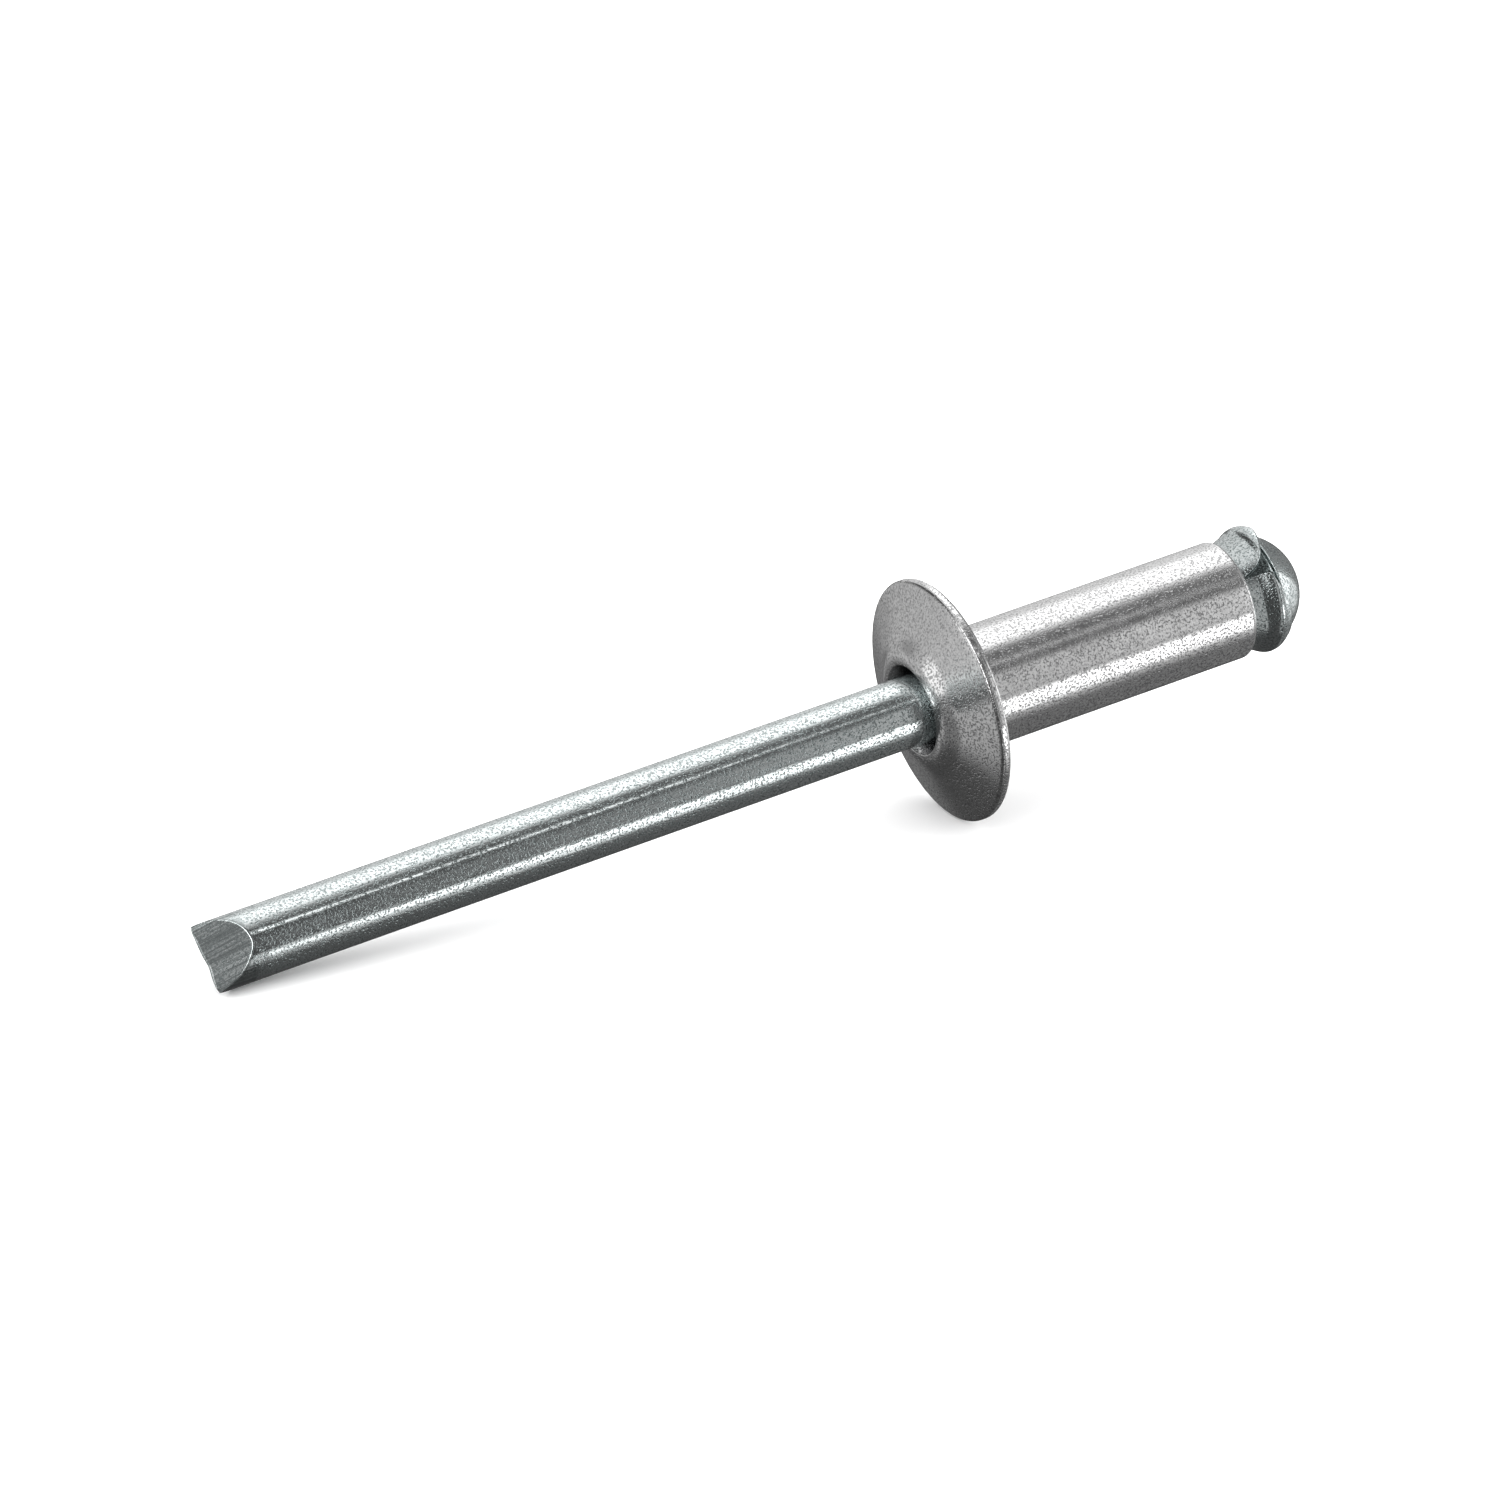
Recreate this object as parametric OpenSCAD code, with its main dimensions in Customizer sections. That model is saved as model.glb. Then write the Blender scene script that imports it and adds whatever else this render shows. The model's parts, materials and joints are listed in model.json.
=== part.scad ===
// Open-end blind rivet with a domed flange: an aluminium sleeve on a steel mandrel.
// Sizes are in millimetres. Each piece is drawn upright, its axis on +Z, with the
// flange's seat at z = 0, the mandrel's head above and its pulling end below.
// The finished rivet is then laid down as it comes to rest on a flat surface, on the
// flange's rim and the pulling end, with +X towards the mandrel's head and +Z up.

/* [Sleeve] */
// Outer diameter of the sleeve's shank
shank_d = 4.0; // [3.8:0.05:4.6]
// Length of the shank, from the flange's seat to its blind end
shank_len = 10.75; // [6:0.25:20]
// Rounding of the shank's outer edge at the blind end
end_round = 0.2; // [0.1:0.05:0.45]
// Radial clearance between the mandrel and the sleeve's bore
bore_gap = 0.06; // [0.03:0.01:0.1]

/* [Flange] */
// Outer diameter of the flange
flange_d = 8.2; // [7:0.1:11]
// Thickness of the flange's rim
rim_t = 0.36; // [0.26:0.02:0.6]
// Rounding of the rim's two edges
rim_round = 0.09; // [0.04:0.01:0.12]
// Height that the flange's cone rises from the rim to the foot of the hub
cone_rise = 0.62; // [0.3:0.02:0.9]
// Height that the hub rises above the cone
hub_rise = 0.32; // [0.26:0.02:0.5]
// Radial run of the hub's flank
hub_run = 0.54; // [0.3:0.02:0.6]
// Rounding of the hub's shoulder and of its foot
hub_round = 0.35; // [0.1:0.05:0.35]
// Width of the flat land around the hole's mouth
land_w = 0.3; // [0.25:0.01:0.5]
// How much wider than the bore the mouth is, on the radius
mouth_flare = 0.32; // [0.15:0.01:0.4]
// Depth over which the mouth narrows to the bore
mouth_depth = 0.8; // [0.4:0.05:1.2]

/* [Mandrel] */
// Diameter of the mandrel
mandrel_d = 2.3; // [2:0.05:2.5]
// Length of the mandrel below the flange's seat
pull_len = 27.15; // [20:0.05:32]
// Angle between the two facets of the pulling end
chisel_angle = 82; // [60:2:120]
// Width of the blunt edge where the two facets meet
chisel_land = 0.05; // [0.02:0.01:0.1]
// Rounding of the pulling end's corners
tip_round = 0.12; // [0.05:0.01:0.3]
// Roll of the pulling end's edge about the axis
chisel_roll = 137.5; // [90:2.5:180]

/* [Break neck] */
// Diameter of the neck where the mandrel breaks, inside the sleeve
neck_d = 1.75; // [1.2:0.05:1.9]
// Distance from the sleeve's blind end to the middle of the neck
neck_depth = 1.2; // [0.8:0.1:3]
// Length of the neck's groove at the mandrel's surface
neck_len = 0.8; // [0.4:0.1:1.2]

/* [Mandrel head] */
// Diameter of the ball that forms the head's dome
dome_d = 3.98; // [3.8:0.02:4.2]
// Height of the ball's centre above the sleeve's blind end
dome_lift = 0.5; // [0.3:0.05:0.9]
// Height above the sleeve's blind end where the dome's underside shows between the lobes
dome_foot = 1.1; // [0.9:0.05:1.3]
// Diameter of the core between the lobes
core_d = 3.44; // [3.1:0.02:3.6]
// Diameter of the lobes' foot, on the sleeve's blind end
lobe_foot_d = 3.64; // [3.5:0.02:3.8]
// Largest diameter of the lobes
lobe_d = 4.22; // [4.1:0.02:4.4]
// Height above the sleeve's blind end where the lobes reach their largest diameter
lobe_crest = 0.9; // [0.5:0.05:0.9]
// Rounding of the lobes' crest, where the flank turns upright
crest_round = 0.42; // [0.2:0.02:0.44]
// Height of the narrow-cornered lobe at its tallest, furthest from the pinch grooves
tight_h = 1.5; // [1.5:0.05:1.8]
// Rounding of the narrow-cornered lobe's top edge
tight_round = 0.5; // [0.2:0.02:0.5]
// Height of the wide-cornered lobe at its tallest, furthest from the pinch grooves
wide_h = 1.65; // [1.5:0.05:1.8]
// Rounding of the wide-cornered lobe's top edge
wide_round = 0.42; // [0.2:0.02:0.5]
// Width of the pinch groove at the sleeve's blind end
groove_w = 0.08; // [0.04:0.01:0.2]
// Height of the pinch groove's straight part
groove_h = 0.76; // [0.4:0.02:0.85]
// Slope of the lobes' shoulders, down towards the pinch grooves
shoulder_slope = 23; // [10:1:24]
// Rounding of the narrow-cornered lobe beside the groove
tight_corner = 0.15; // [0.05:0.05:0.4]
// Rounding of the wide-cornered lobe beside the groove
wide_corner = 1.2; // [0.5:0.1:1.2]
// Roll of the pinch grooves about the axis
groove_roll = 46; // [0:2:90]

/* [Hidden] */
$fn = 96;
// Room that a cutting shape reaches past what it cuts
spare = 1;
// Steps that the lobes' round corners beside the groove are drawn in
corner_steps = 8;

shank_r = shank_d / 2;
flange_r = flange_d / 2;
mandrel_r = mandrel_d / 2;
bore_r = mandrel_r + bore_gap;
mouth_r = bore_r + mouth_flare;
hub_r = mouth_r + land_w;
hub_foot_r = hub_r + hub_run;
cone_top = rim_t + cone_rise;
flange_h = cone_top + hub_rise;
dome_r = dome_d / 2;
dome_z = shank_len + dome_lift;
core_r = core_d / 2;
lobe_foot_r = lobe_foot_d / 2;
lobe_r = lobe_d / 2;
neck_z = shank_len - neck_depth;
neck_r = neck_d / 2;
facet_angle = chisel_angle / 2;

// The lowest line of the mandrel stays whole up to where a facet cuts across it.
// The upright pieces' +X side is the top of the rivet as it lies, so -X is its underside.
facet_reach = max(0, mandrel_r * abs(sin(chisel_roll)) - chisel_land / 2) / tan(facet_angle);
stem_touch = pull_len - max(facet_reach, tip_round);
rim_touch = rim_t - rim_round;
rest_tilt = atan((flange_r - mandrel_r) / (stem_touch - rim_touch));

function unit(v) = v / norm(v);

// Points along the arc of radius r that rounds a corner, tangent to both its sides
function corner_arc(before, corner, after, r) =
    let(u = unit(before - corner))
    let(v = unit(after - corner))
    let(half = acos(u * v) / 2)
    let(centre = corner + unit(u + v) * r / sin(half))
    let(start = corner + u * r / tan(half) - centre)
    let(start_angle = atan2(start[1], start[0]))
    let(step_angle = (2 * half - 180) / corner_steps)
    [for (i = [0:1:corner_steps])
        centre + r * [cos(start_angle + i * step_angle), sin(start_angle + i * step_angle)]];

// The sliver between a corner and the arc of radius r that is tangent to both its sides.
// Taken away it rounds an outer corner, and added it fills an inner one.
module corner_sliver(before, corner, after, r) {
    u = unit(before - corner);
    v = unit(after - corner);
    half = acos(u * v) / 2;
    centre = corner + unit(u + v) * r / sin(half);
    difference() {
        polygon([corner, corner + u * r / tan(half), centre, corner + v * r / tan(half)]);
        translate(centre)
            circle(r = r);
    }
}

// Half section of the sleeve, radius against height
module sleeve_section() {
    bore_top = [bore_r, shank_len];
    end_edge = [shank_r, shank_len];
    seat_edge = [shank_r, 0];
    rim_back = [flange_r, 0];
    rim_front = [flange_r, -rim_t];
    hub_foot = [hub_foot_r, -cone_top];
    hub_edge = [hub_r, -flange_h];
    mouth_edge = [mouth_r, -flange_h];
    throat = [bore_r, mouth_depth - flange_h];
    union() {
        difference() {
            polygon([bore_top, end_edge, seat_edge, rim_back, rim_front,
                     hub_foot, hub_edge, mouth_edge, throat]);
            corner_sliver(bore_top, end_edge, seat_edge, end_round);
            corner_sliver(seat_edge, rim_back, rim_front, rim_round);
            corner_sliver(rim_back, rim_front, hub_foot, rim_round);
            corner_sliver(hub_foot, hub_edge, mouth_edge, hub_round);
        }
        corner_sliver(rim_front, hub_foot, hub_edge, hub_round);
    }
}

// Half section of the mandrel without its lobes: the stem with its break neck, the core
// that the lobes stand on, and the head's dome
module mandrel_section() {
    tip_edge = [mandrel_r, -pull_len];
    neck_low = [mandrel_r, neck_z - neck_len / 2];
    neck_high = [mandrel_r, neck_z + neck_len / 2];
    core_top = [core_r, shank_len + dome_foot];
    inside_dome = [0, shank_len + (dome_foot + dome_lift + dome_r) / 2];
    difference() {
        polygon([[0, -pull_len], tip_edge, neck_low, [neck_r, neck_z], neck_high,
                 [mandrel_r, shank_len], [core_r, shank_len], core_top, inside_dome]);
        corner_sliver([0, -pull_len], tip_edge, neck_low, tip_round);
    }
    intersection() {
        translate([0, dome_z])
            circle(r = dome_r);
        translate([0, shank_len + dome_foot])
            square([dome_r + spare, dome_lift + dome_r]);
    }
}

// One side of the pulling end's chisel, as the wedge of metal that its facet removes
module facet_cut() {
    reach = mandrel_r + spare;
    drop = pull_len + spare;
    rise = (reach - chisel_land / 2) / tan(facet_angle);
    rotate([90, 0, 0])
        linear_extrude(height = 2 * reach, center = true)
            polygon([[chisel_land / 2 - spare * tan(facet_angle), -drop],
                     [reach, rise - pull_len], [reach, -drop]]);
}

module stem_and_dome() {
    difference() {
        rotate_extrude()
            mandrel_section();
        for (side = [90, -90])
            rotate([0, 0, chisel_roll + side])
                facet_cut();
    }
}

// Half section of the ring that a lobe is cut from, height from the sleeve's end
module lobe_section(height, edge_round) {
    foot = [lobe_foot_r, 0];
    crest = [lobe_r, lobe_crest];
    top_edge = [lobe_r, height];
    difference() {
        polygon([[0, 0], foot, crest, top_edge, [0, height]]);
        corner_sliver(crest, top_edge, [0, height], edge_round);
        corner_sliver(foot, crest, top_edge, crest_round);
    }
}

// Side view of a lobe: it rises beside the pinch groove, turns a rounded corner and
// climbs along its shoulder. x is the distance from the groove's middle.
module lobe_outline(corner_round) {
    reach = lobe_r + spare;
    foot = [groove_w / 2, -spare];
    corner = [groove_w / 2, groove_h];
    shoulder = corner + reach * [1, tan(shoulder_slope)];
    polygon(concat([foot], corner_arc(foot, corner, shoulder, corner_round),
                   [shoulder, [shoulder[0], -spare]]));
}

// The lobe that lies on one side of the groove, or on the other when turned half round
module lobe(height, edge_round, corner_round, turn) {
    intersection() {
        rotate_extrude()
            lobe_section(height, edge_round);
        rotate([0, 0, groove_roll + turn])
            rotate([90, 0, 90])
                linear_extrude(height = 2 * (lobe_r + spare), center = true)
                    lobe_outline(corner_round);
    }
}

// Lays an upright piece down at the angle at which the rivet rests
module laid_down() {
    rotate([0, rest_tilt - 90, 180])
        children();
}

module rivet_body() {
    color([0.80, 0.81, 0.82])
        laid_down()
            rotate_extrude()
                sleeve_section();
}

module mandrel() {
    color([0.62, 0.65, 0.65])
        laid_down() {
            stem_and_dome();
            translate([0, 0, shank_len]) {
                lobe(tight_h, tight_round, tight_corner, 0);
                lobe(wide_h, wide_round, wide_corner, 180);
            }
        }
}

rivet_body();
mandrel();
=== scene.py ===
import json
import math

import bmesh
import bpy
import numpy as np
from mathutils import Matrix, Vector


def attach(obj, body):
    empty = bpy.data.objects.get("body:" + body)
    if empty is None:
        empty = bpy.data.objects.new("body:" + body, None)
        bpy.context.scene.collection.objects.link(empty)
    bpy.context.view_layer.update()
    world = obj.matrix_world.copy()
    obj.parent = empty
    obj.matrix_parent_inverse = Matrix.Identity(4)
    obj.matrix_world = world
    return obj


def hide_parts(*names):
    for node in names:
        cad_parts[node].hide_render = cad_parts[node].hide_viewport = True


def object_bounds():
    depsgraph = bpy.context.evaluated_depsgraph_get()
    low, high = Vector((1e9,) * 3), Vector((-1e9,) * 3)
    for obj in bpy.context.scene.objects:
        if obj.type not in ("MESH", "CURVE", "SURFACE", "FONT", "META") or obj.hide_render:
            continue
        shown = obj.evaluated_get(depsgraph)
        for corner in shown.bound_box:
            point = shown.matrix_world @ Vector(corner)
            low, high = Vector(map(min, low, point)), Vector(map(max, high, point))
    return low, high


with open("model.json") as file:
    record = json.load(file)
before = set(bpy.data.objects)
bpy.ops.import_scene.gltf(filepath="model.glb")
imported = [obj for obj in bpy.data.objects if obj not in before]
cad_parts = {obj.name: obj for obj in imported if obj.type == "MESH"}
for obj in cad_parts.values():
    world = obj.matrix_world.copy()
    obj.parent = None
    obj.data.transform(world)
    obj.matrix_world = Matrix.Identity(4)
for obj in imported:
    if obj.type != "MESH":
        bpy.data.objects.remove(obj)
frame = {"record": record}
cad_low, cad_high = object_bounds()

# Directions and sizes. The meshes are drawn upright in millimetres, as in the part's own
# source: the axis on +Z, the flange's seat at z = 0, the head above, the tip below.
MM = 0.001
MOUNTS = {mount["name"]: mount for mount in frame["record"]["mounts"]}
AXIS = Vector(MOUNTS["shank"]["axis"])
ACROSS = Vector((0, 1, 0))
BELOW = ACROSS.cross(AXIS)
REST_TILT = math.atan2(AXIS.z, AXIS.x)

SHANK_R = MOUNTS["shank"]["dims"]["r_mm"]
SHANK_LEN = 10.75
END_ROUND = 0.2
SEAT_ROUND = 0.04
FLANGE_R = 4.1
RIM_T = 0.36
RIM_ROUND = 0.14
CONE_TOP = 0.98
FLANGE_H = 1.3
HUB_FOOT_R = 2.37
HUB_FOOT_ROUND = 2.0
HUB_R = 1.83
HUB_ROUND = 0.9
MOUTH_R = 1.53
MOUTH_ROUND = 0.04
MOUTH_DEPTH = 0.8
MOUTH_FOOT_ROUND = 0.25
BORE_R = 1.21
BORE_END_ROUND = 0.03
MANDREL_R = 1.15
PULL_LEN = 27.15
CHISEL_HALF = math.radians(41)
CHISEL_ROLL = math.radians(137.5)
EDGE_ROUND = 0.02
FACET_BORDER = 0.05
NECK_Z = 9.55
NECK_R = 0.875
NECK_LEN = 0.8
DOME_R = 1.9897
DOME_LIFT = 0.5
DOME_FOOT = 1.1
DOME_FOOT_ROUND = 0.04
CORE_R = 1.72
GROOVE_ROLL = math.radians(226)
GROOVE_W = 0.08
LOBE_EDGE_ROUND = 0.07

# The two lobes' profiles. Heights are above the sleeve's end. A corner is how far from the
# groove the edge takes to come up.
TIGHT_EDGE_H = 0.87
TIGHT_EDGE_TOP = 1.42
TIGHT_CORNER = 0.035
TIGHT_FOOT_R = 1.79
TIGHT_CREST_H = 0.88
TIGHT_CREST_RISE = 0.62
TIGHT_CREST_R = 1.5
TIGHT_CREST_REACH = 0.605
WIDE_EDGE_H = 0.65
WIDE_CORNER = 0.17
WIDE_FOOT_R = 1.77
WIDE_CREST_H = 1.08
WIDE_CREST_R = 1.66
WIDE_CREST_ROUND = 0.5


def unit(vector):
    return vector / np.linalg.norm(vector)


def smoothstep(x, low, high):
    q = np.clip((x - low) / (high - low), 0, 1)
    return q * q * (3 - 2 * q)


def soft_min(a, b, blend):
    """The smaller of a and b, with the corner between them rounded over about blend."""
    return (a + b - np.sqrt((a - b) ** 2 + blend**2)) / 2


def soft_max(a, b, blend):
    return -soft_min(-a, -b, blend)


# Meshes
def rounded_outline(corners, arc_steps=10):
    """Points along a closed outline of (radius, height, rounding) corners."""
    points = []
    for i, (r, z, rounding) in enumerate(corners):
        corner = np.array((r, z))
        back = unit(np.array(corners[i - 1][:2]) - corner)
        ahead = unit(np.array(corners[(i + 1) % len(corners)][:2]) - corner)
        half = math.acos(back @ ahead) / 2
        centre = corner + unit(back + ahead) * rounding / math.sin(half)
        start = corner + back * rounding / math.tan(half) - centre
        end = corner + ahead * rounding / math.tan(half) - centre
        turn = math.pi - 2 * half
        for q in np.linspace(0, 1, arc_steps):
            arm = math.sin((1 - q) * turn) * start + math.sin(q * turn) * end
            points.append(centre + arm / math.sin(turn))
    return points


def divided(points, longest):
    """The closed outline again, with extra points so that no stretch is over longest."""
    result = []
    for here, there in zip(points, points[1:] + points[:1]):
        parts = max(1, math.ceil(np.linalg.norm(there - here) / longest))
        result += [here + (there - here) * k / parts for k in range(parts)]
    return np.array(result)


def grid_faces(rows, columns, closed_rows):
    """Quads of a grid of rows by columns, whose columns run round the axis."""
    i, j = np.meshgrid(np.arange(rows if closed_rows else rows - 1), np.arange(columns), indexing="ij")
    i_next, j_next = (i + 1) % rows, (j + 1) % columns
    corners = (i * columns + j, i * columns + j_next, i_next * columns + j_next, i_next * columns + j)
    return np.stack(corners, -1).reshape(-1, 4)


def make_piece(name, upright, faces, material):
    """A smooth mesh from upright millimetre points, laid down as the rivet lies."""
    basis = np.array((BELOW, ACROSS, AXIS))
    mesh = bpy.data.meshes.new(name)
    mesh.from_pydata((upright.reshape(-1, 3) @ basis * MM).tolist(), [], faces.tolist())
    mesh.materials.append(material)
    piece = bpy.data.objects.new(name, mesh)
    bpy.context.scene.collection.objects.link(piece)
    weld(mesh)
    mesh.shade_smooth()
    return piece


def weld(mesh, distance=2e-7):
    """Joins points that coincide and drops the faces that this leaves without area."""
    work = bmesh.new()
    work.from_mesh(mesh)
    bmesh.ops.remove_doubles(work, verts=work.verts, dist=distance)
    bmesh.ops.dissolve_degenerate(work, dist=distance, edges=work.edges)
    work.to_mesh(mesh)
    work.free()


# Sleeve
SLEEVE_CORNERS = [
    (BORE_R, SHANK_LEN, BORE_END_ROUND),
    (BORE_R, MOUTH_DEPTH - FLANGE_H, MOUTH_FOOT_ROUND),
    (MOUTH_R, -FLANGE_H, MOUTH_ROUND),
    (HUB_R, -FLANGE_H, HUB_ROUND),
    (HUB_FOOT_R, -CONE_TOP, HUB_FOOT_ROUND),
    (FLANGE_R, -RIM_T, RIM_ROUND),
    (FLANGE_R, 0, RIM_ROUND),
    (SHANK_R, 0, SEAT_ROUND),
    (SHANK_R, SHANK_LEN, END_ROUND),
]
SLEEVE_COLUMNS = 384
SLEEVE_STEP = 0.3


def build_sleeve(material):
    outline = divided(rounded_outline(SLEEVE_CORNERS), SLEEVE_STEP)
    turn = np.arange(SLEEVE_COLUMNS) * 2 * math.pi / SLEEVE_COLUMNS
    r = outline[:, :1] + 0 * turn
    z = outline[:, 1:] + 0 * turn
    upright = np.stack((r * np.cos(turn), r * np.sin(turn), z), -1)
    return make_piece("sleeve", upright, grid_faces(len(outline), SLEEVE_COLUMNS, True), material)


# Mandrel
MANDREL_COLUMNS = 400
# The columns run evenly round the tip, and crowd towards the pinch grooves at the head
TIP_TURN = CHISEL_ROLL + (np.arange(MANDREL_COLUMNS) + 0.5) * 2 * math.pi / MANDREL_COLUMNS


def head_turn():
    fine = CHISEL_ROLL + np.linspace(0, 2 * math.pi, 20001)
    off_groove = np.arcsin(np.abs(np.sin(fine - GROOVE_ROLL)))
    crowd = 1 + 9 * np.exp(-((off_groove / 0.1) ** 2)) + 3 * np.exp(-((off_groove / 0.4) ** 2))
    share = np.concatenate(([0], np.cumsum((crowd[1:] + crowd[:-1]) / 2)))
    wanted = (np.arange(MANDREL_COLUMNS) + 0.5) / MANDREL_COLUMNS
    return np.interp(wanted, share / share[-1], fine)


HEAD_TURN = head_turn()


def turn_at(z):
    """Angle of each column at height z. The change between the two spacings is in the bore."""
    mix = smoothstep(z, 0.5, 9)
    return TIP_TURN * (1 - mix) + HEAD_TURN * mix


def ring(z, r):
    """One row of points at height z, with a radius or height for each column if wanted."""
    z = z + np.zeros(MANDREL_COLUMNS)
    turn = turn_at(z)
    return np.stack((r * np.cos(turn), r * np.sin(turn), z), -1)


def tip_rows():
    """From the chisel's edge, along its two facets and their rounded border, to the stem."""
    along = MANDREL_R * np.cos(TIP_TURN - CHISEL_ROLL)
    off = MANDREL_R * np.sin(TIP_TURN - CHISEL_ROLL)
    wave = 0.05 * np.exp(-(((along + 0.25) / 0.3) ** 2))
    worn_corners = 0.04 * smoothstep(np.abs(along), 0.95, MANDREL_R)
    edge_z = -PULL_LEN + wave + worn_corners

    def facet(q):
        x = off * q
        z = edge_z + (np.sqrt(x**2 + EDGE_ROUND**2) - EDGE_ROUND) / math.tan(CHISEL_HALF)
        return np.stack((along, x, z), -1)

    def to_upright(p):
        c, s = math.cos(CHISEL_ROLL), math.sin(CHISEL_ROLL)
        return np.stack((p[:, 0] * c - p[:, 1] * s, p[:, 0] * s + p[:, 1] * c, p[:, 2]), -1)

    rim = facet(1.0)
    length = np.abs(off) / math.sin(CHISEL_HALF)
    inner = 1 - np.minimum(FACET_BORDER / np.maximum(length, 1e-6), 0.45)
    rows = [facet(inner * q) for q in np.linspace(0, 1, 16)]
    start = rows.pop()
    end = rim + np.array((0, 0, 1)) * (np.minimum(FACET_BORDER, 0.45 * length)[:, None] + 0.01)
    for q in np.linspace(0, 1, 7):
        rows.append((1 - q) ** 2 * start + 2 * q * (1 - q) * rim + q**2 * end)
    return [to_upright(p) for p in rows]


def stem_rows(start_z):
    plain_from = -25.2
    low, high = NECK_Z - NECK_LEN / 2, NECK_Z + NECK_LEN / 2
    rows = [ring(start_z + (plain_from - start_z) * q, MANDREL_R) for q in np.linspace(0, 1, 9)[1:]]
    rows += [ring(z, MANDREL_R) for z in np.linspace(plain_from, low, 70)[1:]]
    rows += [ring(NECK_Z, NECK_R), ring(high, MANDREL_R), ring(SHANK_LEN, MANDREL_R)]
    return rows


def groove_offset(turn):
    """Distance from the pinch grooves' plane, and whether the tight-cornered lobe is there."""
    offset = SHANK_R * np.sin(turn - GROOVE_ROLL)
    return np.abs(offset), offset > 0


def lobe_edge(offset, tight):
    """Height of the lobes' edge above the sleeve's end, by the distance from the groove."""
    away = np.maximum(offset - GROOVE_W / 2, 0)
    tight_edge = soft_min(TIGHT_EDGE_H + 0.17 * offset + 0.12 * offset**2, TIGHT_EDGE_TOP, 0.1)
    tight_edge = tight_edge * (1 - np.exp(-away / TIGHT_CORNER))
    wide_edge = (WIDE_EDGE_H + 0.43 * offset) * (1 - np.exp(-away / WIDE_CORNER))
    return np.where(tight, tight_edge, wide_edge)


def lobe_radius(h, tight):
    """Radius of the lobes at height h: a straight flank that turns over at the crest."""
    crease = 0.01
    tight_flank = TIGHT_FOOT_R + 0.2 * np.minimum(h, 0.35) + 0.245 * smoothstep(h, 0.3, 0.92)
    over_crest = np.maximum(h - TIGHT_CREST_H, 0) / TIGHT_CREST_RISE
    tight_crest = TIGHT_CREST_R + TIGHT_CREST_REACH * np.sqrt(np.maximum(1 - over_crest**2, 0.0001))
    tight_r = soft_min(tight_flank, tight_crest, crease)
    bulge = WIDE_CREST_R + np.sqrt(np.maximum(WIDE_CREST_ROUND**2 - (h - WIDE_CREST_H) ** 2, 0))
    wide_flank = WIDE_FOOT_R + 0.36 * h
    wide_r = np.where(h > 0.95, bulge, soft_max(wide_flank, bulge, crease))
    return np.where(tight, tight_r, wide_r)


def dome_radius(h):
    return np.sqrt(np.maximum(DOME_R**2 - (h - DOME_LIFT) ** 2, 0))


def head_rows():
    """From the sleeve's end up the lobes, over their edge, in to the core and over the dome."""
    turn = HEAD_TURN
    offset, tight = groove_offset(turn)
    edge = lobe_edge(offset, tight)
    on_lobe = offset > GROOVE_W / 2
    edge_round = np.minimum(LOBE_EDGE_ROUND, edge / 2)
    top = edge - edge_round
    side_r = np.where(on_lobe, lobe_radius(top, tight), CORE_R)
    under_dome = edge < DOME_FOOT
    shoulder_r = np.where(under_dome, CORE_R, dome_radius(edge))
    dome_start = np.maximum(edge, DOME_FOOT)
    dome_start_r = dome_radius(dome_start)
    rows = []

    def add(h, r):
        rows.append(np.stack((r * np.cos(turn), r * np.sin(turn), SHANK_LEN + h + 0 * turn), -1))

    for q in np.linspace(0, 1, 30):
        h = top * q
        add(h, np.where(on_lobe, lobe_radius(h, tight), CORE_R))
    for q in np.linspace(0, math.pi / 2, 8)[1:]:
        add(top + edge_round * math.sin(q), side_r - edge_round * (1 - math.cos(q)))
    lip_r = side_r - edge_round
    for q in np.linspace(0, 1, 6)[1:]:
        add(edge, lip_r + (np.minimum(shoulder_r, lip_r) - lip_r) * q)
    for q in np.linspace(0, 1, 6)[1:]:
        add(edge + (dome_start - edge) * q, np.minimum(shoulder_r, lip_r))
    foot_round = np.where(under_dome, DOME_FOOT_ROUND, 0)
    for q in np.linspace(0, 1, 5)[1:]:
        add(dome_start, shoulder_r + (dome_start_r - foot_round - shoulder_r) * q)
    for q in np.linspace(0, math.pi / 2, 6)[1:]:
        r = dome_start_r - foot_round * (1 - math.sin(q))
        add(dome_start + foot_round * (1 - math.cos(q)), r)
    first = np.arctan2(dome_radius(dome_start + foot_round), dome_start + foot_round - DOME_LIFT)
    for q in np.linspace(0, 1, 70)[1:]:
        angle = first * (1 - q)
        add(DOME_LIFT + DOME_R * np.cos(angle), DOME_R * np.sin(angle))
    return rows


def build_mandrel(material):
    rows = tip_rows()
    rows += stem_rows(rows[-1][:, 2])
    rows += head_rows()
    upright = np.array(rows)
    return make_piece("break_mandrel", upright, grid_faces(len(rows), MANDREL_COLUMNS, False), material)


# Metals. Noises are in cells a metre, along the axis and across it. The pairs say from where
# to where a change runs: in the noise's own value, or in metres along the axis or out from it.
GRAIN = (13000, 13000, 13000)
GRAIN_TONES = (0.33, 0.6)
GRAIN_DENTS = (0.3, 0.46)
DENT_DEPTH = 0.000007
PATCHES = (1500, 1500, 1500)
DRAWN_LINES = (600, 14000, 14000)
LINE_DEPTH = 0.00001
GRINDING_LINES = (400, 17000, 400)
GRINDING_TONES = (0.35, 0.6)
NOISE_MIDDLE = (0.3, 0.7)

ALUMINIUM_DARK = (0.59, 0.59, 0.595)
ALUMINIUM_LIGHT = (0.98, 0.98, 0.98)
ALUMINIUM_ROUGHNESS = (0.15, 0.21)
# Painted shade inside the bore's mouth: the sleeve's colour goes dark within these radii, standing in
# for the hole's shadow
MOUTH_PAINTED_SHADE = (0.16, 0.16, 0.165)
MOUTH_SHADE_EDGE = (0.00134, 0.00147)

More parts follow.
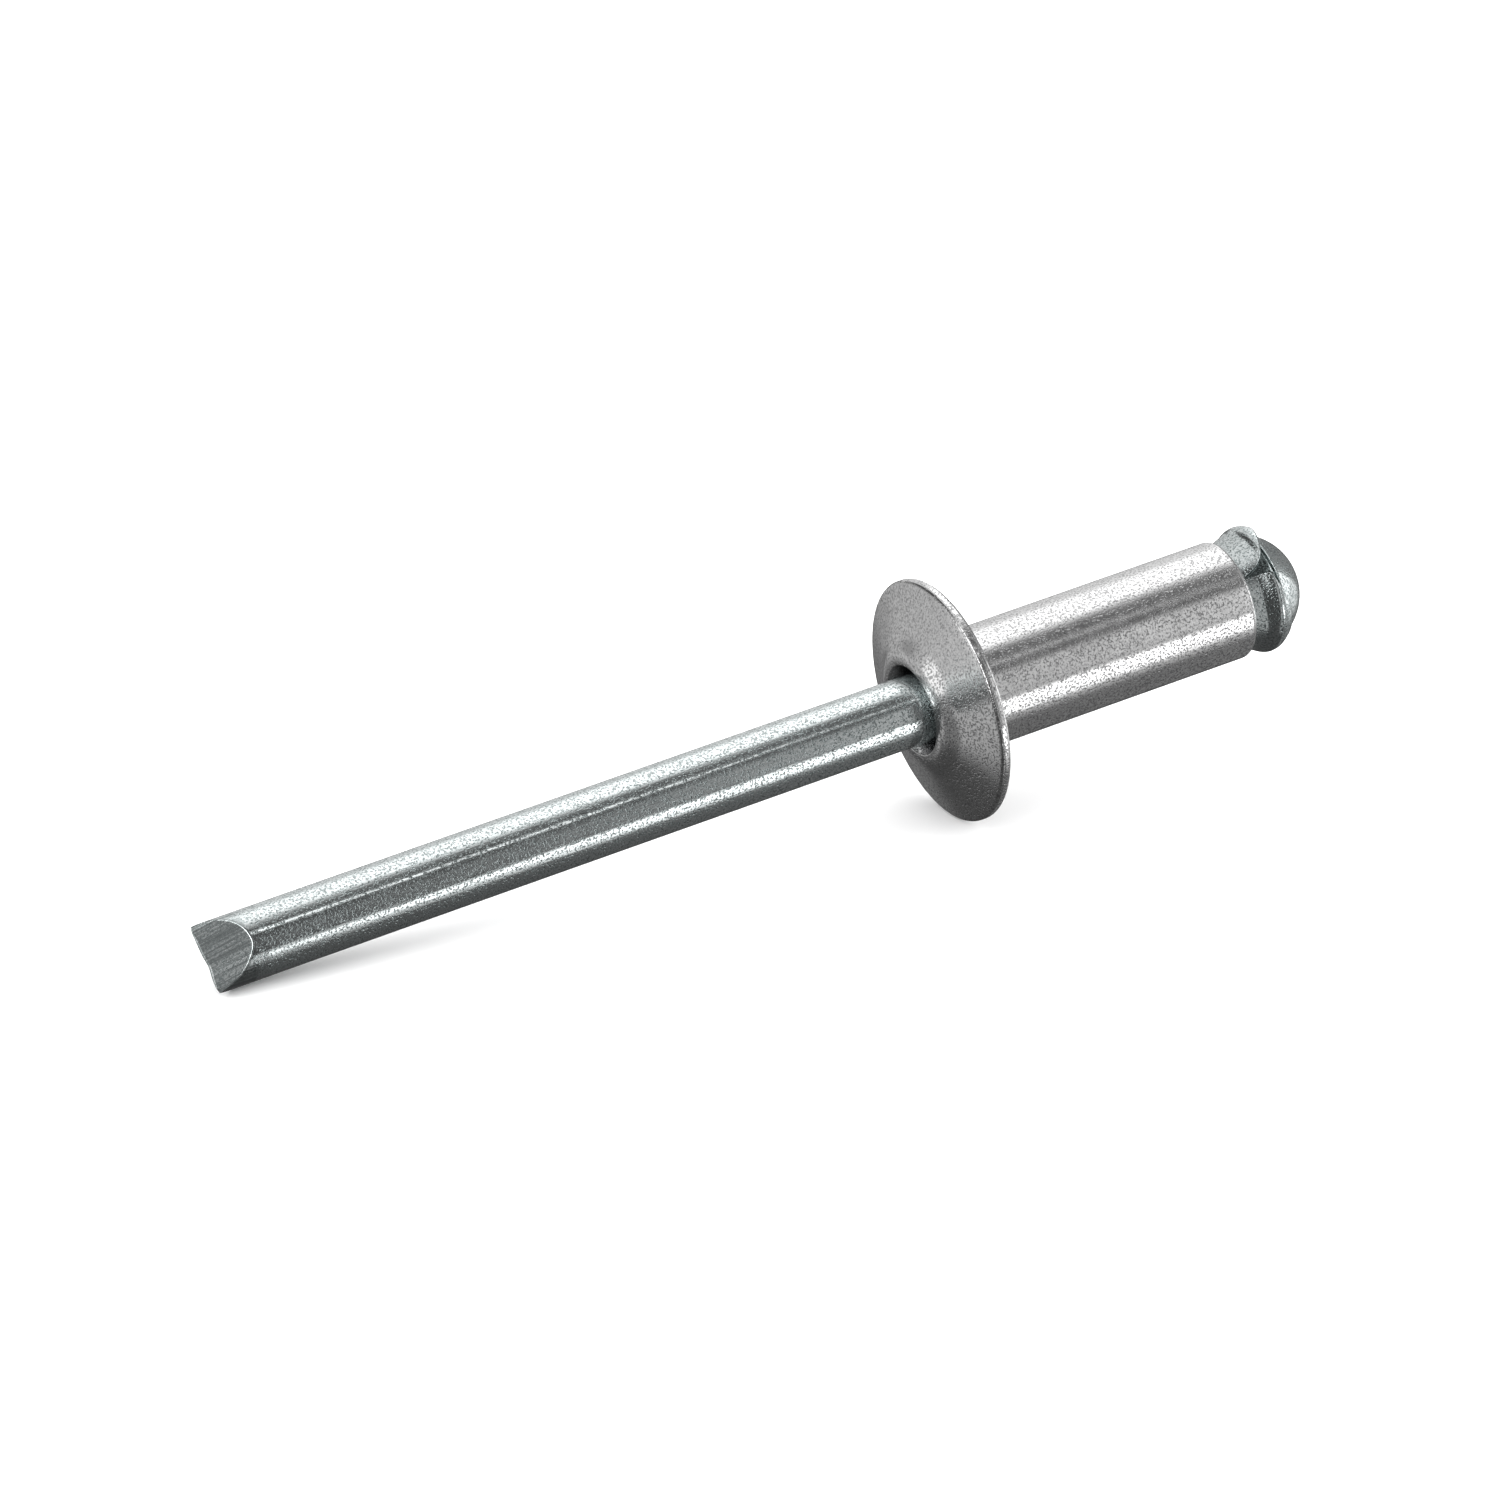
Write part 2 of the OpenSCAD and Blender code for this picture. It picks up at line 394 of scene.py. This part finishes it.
STEEL_DARK = (0.46, 0.52, 0.52)
STEEL_LIGHT = (0.92, 0.97, 0.97)
STEEL_ROUGHNESS = (0.12, 0.17)
FACET_DARK = (0.42, 0.46, 0.46)
# Painted shade for the recess between the head's lobes, and the heights and radius that bound it
RECESS_PAINTED_SHADE = (0.18, 0.21, 0.21)
FACET_END = (-0.0259, -0.0258)
DENTS_START = (-0.0260, -0.0254)
RECESS_FOOT = (0.01074, 0.01080)
RECESS_TOP = (0.01180, 0.01187)
RECESS_SIDE = (0.00174, 0.00180)


def node(tree, kind, **values):
    made = tree.nodes.new(kind)
    for key, value in values.items():
        setattr(made, key, value)
    return made


def link(tree, source, output, target, socket):
    tree.links.new(source.outputs[output], target.inputs[socket])


def lying_coordinates(tree):
    """Object coordinates turned so that x runs along the rivet's own axis."""
    where = node(tree, "ShaderNodeTexCoord")
    lay = node(tree, "ShaderNodeMapping", vector_type="POINT")
    lay.inputs["Rotation"].default_value = (0, REST_TILT, 0)
    link(tree, where, "Object", lay, "Vector")
    return lay


def noise(tree, coordinates, per_metre, detail, roughness=0.5):
    """Noise with its own number of cells a metre along and across the axis."""
    stretch = node(tree, "ShaderNodeMapping", vector_type="POINT")
    stretch.inputs["Scale"].default_value = per_metre
    made = node(tree, "ShaderNodeTexNoise")
    made.inputs["Scale"].default_value = 1
    made.inputs["Detail"].default_value = detail
    made.inputs["Roughness"].default_value = roughness
    link(tree, coordinates, "Vector", stretch, "Vector")
    link(tree, stretch, "Vector", made, "Vector")
    return made


def scaled(tree, source, output, low, high, to_low=0, to_high=1):
    """The value, taken from the range low to high over to the range to_low to to_high."""
    made = node(tree, "ShaderNodeMapRange", clamp=True)
    made.inputs["From Min"].default_value = low
    made.inputs["From Max"].default_value = high
    made.inputs["To Min"].default_value = to_low
    made.inputs["To Max"].default_value = to_high
    link(tree, source, output, made, "Value")
    return made


def tinted(tree, source, dark, light):
    """A colour between dark and light by a value from 0 to 1."""
    mix = node(tree, "ShaderNodeMix", data_type="RGBA")
    mix.inputs[6].default_value = (*dark, 1)
    mix.inputs[7].default_value = (*light, 1)
    link(tree, source, 0, mix, 0)
    return mix


def calculated(tree, operation, a, b=0.0):
    """A value worked out from two others, each a number or a node's first output."""
    made = node(tree, "ShaderNodeMath", operation=operation)
    for socket, value in enumerate((a, b)):
        if isinstance(value, (int, float)):
            made.inputs[socket].default_value = value
        else:
            link(tree, value, 0, made, socket)
    return made


def along_and_radius(tree, lay):
    """Where a point is along the rivet's axis, and how far it is from it, in metres."""
    parts = node(tree, "ShaderNodeSeparateXYZ")
    link(tree, lay, "Vector", parts, "Vector")
    squares = []
    for name in ("Y", "Z"):
        square = node(tree, "ShaderNodeMath", operation="POWER")
        square.inputs[1].default_value = 2
        link(tree, parts, name, square, 0)
        squares.append(square)
    radius = calculated(tree, "SQRT", calculated(tree, "ADD", *squares))
    return parts, radius


def shaded(tree, share, colour, dark):
    """The colour, going over to dark where share falls from 1 to 0."""
    mix = node(tree, "ShaderNodeMix", data_type="RGBA")
    mix.inputs[6].default_value = (*dark, 1)
    link(tree, colour, 2, mix, 7)
    link(tree, share, 0, mix, 0)
    return mix


def bump(tree, source, strength, distance, below=None):
    made = node(tree, "ShaderNodeBump")
    made.inputs["Strength"].default_value = strength
    made.inputs["Distance"].default_value = distance
    link(tree, source, 0, made, "Height")
    if below:
        link(tree, below, "Normal", made, "Normal")
    return made


def new_metal(name):
    material = bpy.data.materials.new(name)
    material.use_nodes = True
    tree = material.node_tree
    shader = tree.nodes["Principled BSDF"]
    shader.inputs["Metallic"].default_value = 1
    return material, tree, shader


def grained(tree, lay, dark, light):
    """The fine grain of a tumbled metal: its colour, and its dents as a height from 0 to 1."""
    grain = noise(tree, lay, GRAIN, detail=1, roughness=0.6)
    tone = scaled(tree, grain, 0, *GRAIN_TONES)
    dents = scaled(tree, grain, 0, *GRAIN_DENTS)
    return tinted(tree, tone, dark, light), dents


def aluminium():
    material, tree, shader = new_metal("tumbled_aluminium")
    lay = lying_coordinates(tree)
    colour, dents = grained(tree, lay, ALUMINIUM_DARK, ALUMINIUM_LIGHT)
    radius = along_and_radius(tree, lay)[1]
    # Painted shade: the colour darkens inside the mouth's radius, standing in for the shadow in the
    # hole
    out_of_mouth_shade = scaled(tree, radius, 0, *MOUTH_SHADE_EDGE)
    colour = shaded(tree, out_of_mouth_shade, colour, MOUTH_PAINTED_SHADE)
    link(tree, colour, 2, shader, "Base Color")
    patches = noise(tree, lay, PATCHES, detail=3)
    rough = scaled(tree, patches, 0, *NOISE_MIDDLE, *ALUMINIUM_ROUGHNESS)
    link(tree, rough, 0, shader, "Roughness")
    pits = bump(tree, dents, 1.0, DENT_DEPTH)
    link(tree, pits, "Normal", shader, "Normal")
    return material


def zinc_plated_steel():
    material, tree, shader = new_metal("zinc_plated_steel")
    lay = lying_coordinates(tree)
    colour, dents = grained(tree, lay, STEEL_DARK, STEEL_LIGHT)

    # The facets' grinding lines run across the chisel's edge
    parts, radius = along_and_radius(tree, lay)
    across_edge = node(tree, "ShaderNodeMapping", vector_type="POINT")
    across_edge.inputs["Rotation"].default_value = (math.pi / 2 - CHISEL_ROLL, 0, 0)
    link(tree, lay, "Vector", across_edge, "Vector")
    ground = noise(tree, across_edge, GRINDING_LINES, detail=2, roughness=0.6)
    off_facets = scaled(tree, parts, "X", *FACET_END)
    streaks = scaled(tree, ground, 0, *GRINDING_TONES)
    ground_share = calculated(tree, "MAXIMUM", streaks, off_facets)
    colour = shaded(tree, ground_share, colour, FACET_DARK)

    # Painted shade in the recess between the lobes: the colour goes dark there, standing in for the
    # crevice's shade
    over_recess = scaled(tree, parts, "X", *RECESS_TOP)
    under_recess = scaled(tree, parts, "X", *RECESS_FOOT, to_low=1, to_high=0)
    beside_recess = scaled(tree, radius, 0, *RECESS_SIDE)
    beyond_recess = calculated(tree, "MAXIMUM", over_recess, under_recess)
    out_of_recess_shade = calculated(tree, "MAXIMUM", beyond_recess, beside_recess)
    colour = shaded(tree, out_of_recess_shade, colour, RECESS_PAINTED_SHADE)

    link(tree, colour, 2, shader, "Base Color")
    lines = noise(tree, lay, DRAWN_LINES, detail=2, roughness=0.6)
    rough = scaled(tree, lines, 0, *NOISE_MIDDLE, *STEEL_ROUGHNESS)
    link(tree, rough, 0, shader, "Roughness")
    drawn = bump(tree, lines, 0.25, LINE_DEPTH)
    off_tip = scaled(tree, parts, "X", *DENTS_START)
    dents = calculated(tree, "MULTIPLY", dents, off_tip)
    pits = bump(tree, dents, 1.0, DENT_DEPTH, drawn)
    link(tree, pits, "Normal", shader, "Normal")
    return material


# Studio. A soft box is a patch of the surroundings, placed by its turn round the rivet's
# axis, in degrees up from the level on the camera's side, and by its reach along the axis,
# from -1 at the tip's end to 1 at the head's end.
SOFT_BOXES = [
    # name, turn from and to, its softness, along from and to, its softness, level
    ("surround", -400, 400, 5, 0.37, 1.3, 0.03, 0.035),
    ("front, low", -62, 42, 14, -0.1, 0.2, 0.06, 0.29),
    ("overhead", 96, 150, 14, 0.335, 0.62, 0.03, 1.4),
    ("overhead, back", 154, 400, 11, 0.335, 0.62, 0.03, 0.55),
    ("overhead, head end", 150, 400, 11, 0.47, 0.64, 0.05, 0.33),
    ("over the lobes, near", 78, 108, 8, -0.27, 0.335, 0.04, 0.66),
    ("over the lobes, middle", 108, 132, 8, -0.16, 0.335, 0.04, 0.66),
    ("over the lobes, far", 132, 400, 8, -0.04, 0.335, 0.04, 0.55),
    ("behind", -400, -164, 6, 0.28, 0.62, 0.03, 0.55),
    ("behind, low", -160, -140, 6, -0.15, 0.3, 0.05, 0.11),
    ("key", -28, -12, 5, 0.352, 0.54, 0.006, 2.1),
    ("key, head end", -42, -28, 5, 0.385, 0.54, 0.02, 1.7),
    ("key, sleeve", -57, -43, 5, 0.42, 0.54, 0.01, 0.4),
    ("sleeve, low", -125, -57, 12, 0.42, 0.52, 0.02, 0.09),
    ("thin strip", 58, 62, 3, -0.02, 0.405, 0.006, 2.1),
    ("front end", -6, 42, 6, 0.422, 0.56, 0.008, 0.71),
    ("before the head", -60, 60, 10, 0.55, 0.8, 0.04, 0.17),
    ("head end", -50, 58, 8, 0.78, 1.3, 0.08, 1.1),
    ("below the head", -135, -60, 8, 0.58, 1.3, 0.05, 0.11),
    ("head end, low", -135, -50, 8, 0.83, 1.3, 0.09, 0.61),
    ("above the head", 58, 98, 8, 0.5, 1.3, 0.05, 0.2),
    ("head end, back", 98, 400, 8, 0.66, 1.3, 0.05, 0.13),
    ("head end, behind", -400, -135, 8, 0.66, 1.3, 0.05, 0.13),
    ("tip arc", 22, 92, 8, -0.77, -0.6, 0.025, 3.0),
    ("lobe crests", 58, 100, 6, -0.6, -0.38, 0.03, 1.0),
    ("tip end", 15, 95, 8, -1.3, -0.8, 0.04, 0.19),
    ("tip end, back", 95, 400, 10, -1.3, -0.66, 0.06, 0.37),
    ("tip end, back low", 165, 400, 8, -0.66, 0.05, 0.06, 0.22),
    ("tip end, top", 112, 188, 8, -1.3, -0.84, 0.04, 0.55),
    ("tip end, top behind", -400, -165, 8, -1.3, -0.9, 0.04, 0.20),
    ("tip end, behind", -400, -159, 10, -1.3, 0.05, 0.1, 0.39),
    ("tip end, below behind", -159, -139, 8, -1.3, -0.52, 0.08, 0.46),
    ("tip end, low behind", -139, -119, 8, -1.3, -0.73, 0.08, 0.33),
    ("tip end, low", -119, -50, 10, -1.3, -0.78, 0.08, 0.11),
]
AMBIENT = 0.058


def make_world():
    world = bpy.data.worlds.new("studio")
    bpy.context.scene.world = world
    world.use_nodes = True
    tree = world.node_tree
    tree.nodes.clear()
    where = node(tree, "ShaderNodeTexCoord")
    lay = node(tree, "ShaderNodeMapping", vector_type="POINT")
    lay.inputs["Rotation"].default_value = (0, REST_TILT, 0)
    link(tree, where, "Generated", lay, "Vector")
    parts = node(tree, "ShaderNodeSeparateXYZ")
    link(tree, lay, "Vector", parts, "Vector")
    towards = node(tree, "ShaderNodeMath", operation="MULTIPLY")
    towards.inputs[1].default_value = -1
    link(tree, parts, "Y", towards, 0)
    turn = node(tree, "ShaderNodeMath", operation="ARCTAN2")
    link(tree, parts, "Z", turn, 0)
    link(tree, towards, 0, turn, 1)

    def step(source, output, at, soft, rising):
        made = node(tree, "ShaderNodeMapRange", interpolation_type="SMOOTHSTEP")
        made.inputs["From Min"].default_value = at - soft
        made.inputs["From Max"].default_value = at + soft
        made.inputs["To Min"].default_value = 0 if rising else 1
        made.inputs["To Max"].default_value = 1 if rising else 0
        link(tree, source, output, made, "Value")
        return made

    total = calculated(tree, "ADD", AMBIENT)
    for _, turn_from, turn_to, turn_soft, along_from, along_to, along_soft, level in SOFT_BOXES:
        soft = math.radians(turn_soft)
        box = calculated(tree, "MULTIPLY", step(turn, 0, math.radians(turn_from), soft, True),
                         step(turn, 0, math.radians(turn_to), soft, False))
        box = calculated(tree, "MULTIPLY", box, step(parts, "X", along_from, along_soft, True))
        box = calculated(tree, "MULTIPLY", box, step(parts, "X", along_to, along_soft, False))
        total = calculated(tree, "ADD", total, calculated(tree, "MULTIPLY", box, level))
    background = node(tree, "ShaderNodeBackground")
    link(tree, total, 0, background, "Color")
    output = node(tree, "ShaderNodeOutputWorld")
    link(tree, background, "Background", output, "Surface")


FLOOR_HALF = 4.0
FLOOR_COLOUR = (0.93, 0.93, 0.93, 1)
FLOOR_ROUGHNESS = 0.9
FLOOR_LIGHT_ENERGY = 5.4
FLOOR_LIGHT_SPREAD = math.radians(150)


def make_floor():
    mesh = bpy.data.meshes.new("floor")
    signs = ((-1, -1), (1, -1), (1, 1), (-1, 1))
    corners = [(x * FLOOR_HALF, y * FLOOR_HALF, cad_low.z) for x, y in signs]
    mesh.from_pydata(corners, [], [(0, 1, 2, 3)])
    floor = bpy.data.objects.new("floor", mesh)
    bpy.context.scene.collection.objects.link(floor)
    material = bpy.data.materials.new("pale_floor")
    material.use_nodes = True
    shader = material.node_tree.nodes["Principled BSDF"]
    shader.inputs["Base Color"].default_value = FLOOR_COLOUR
    shader.inputs["Roughness"].default_value = FLOOR_ROUGHNESS
    shader.inputs["Specular IOR Level"].default_value = 0
    mesh.materials.append(material)
    floor.visible_glossy = False


def make_floor_light():
    light = bpy.data.lights.new("floor_light", "SUN")
    light.energy = FLOOR_LIGHT_ENERGY
    light.angle = FLOOR_LIGHT_SPREAD
    lamp = bpy.data.objects.new("floor_light", light)
    lamp.visible_glossy = False
    bpy.context.scene.collection.objects.link(lamp)


# Camera, from the photograph's fitted perspective. The picture's right, down and forward are
# shares of three directions: the rivet's axis, the way across it that dips as it leaves the
# camera, and the way down that is square to both.
VIEW_DIP = math.radians(30)
VIEW_RIGHT = (0.8632, -0.3798, 0.3326)
VIEW_DOWN = (-0.3044, 0.1339, 0.9431)
VIEW_FORWARD = (0.4027, 0.9153, 0)
CAMERA_FROM_SEAT = (-6.347, 1.674, -322.92)
FOCAL_PX = 9972.8
IMAGE_PX = 1500
SENSOR_WIDTH = 36


def make_camera():
    away = ACROSS * math.cos(VIEW_DIP) + BELOW * math.sin(VIEW_DIP)
    low = BELOW * math.cos(VIEW_DIP) - ACROSS * math.sin(VIEW_DIP)

    def direction(shares):
        return AXIS * shares[0] + away * shares[1] + low * shares[2]

    right, down, forward = direction(VIEW_RIGHT), direction(VIEW_DOWN), direction(VIEW_FORWARD)
    to_right, to_down, to_front = CAMERA_FROM_SEAT
    place = (right * to_right + down * to_down + forward * to_front) * MM
    camera_data = bpy.data.cameras.new("camera")
    camera_data.sensor_width = SENSOR_WIDTH
    camera_data.lens = FOCAL_PX / IMAGE_PX * SENSOR_WIDTH
    camera_data.clip_start = 0.01
    camera_data.clip_end = 20
    camera = bpy.data.objects.new("camera", camera_data)
    turn = Matrix((right, -down, -forward)).transposed()
    camera.matrix_world = Matrix.Translation(place) @ turn.to_4x4()
    bpy.context.scene.collection.objects.link(camera)
    bpy.context.scene.camera = camera


sleeve = build_sleeve(aluminium())
mandrel = build_mandrel(zinc_plated_steel())
for piece, cad_node, slot in ((sleeve, "rivet_body", "aluminium"), (mandrel, "mandrel", "steel")):
    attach(piece, "root")
    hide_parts(cad_node)

make_camera()
make_floor()
make_floor_light()
make_world()
bpy.context.scene.view_settings.view_transform = "Standard"
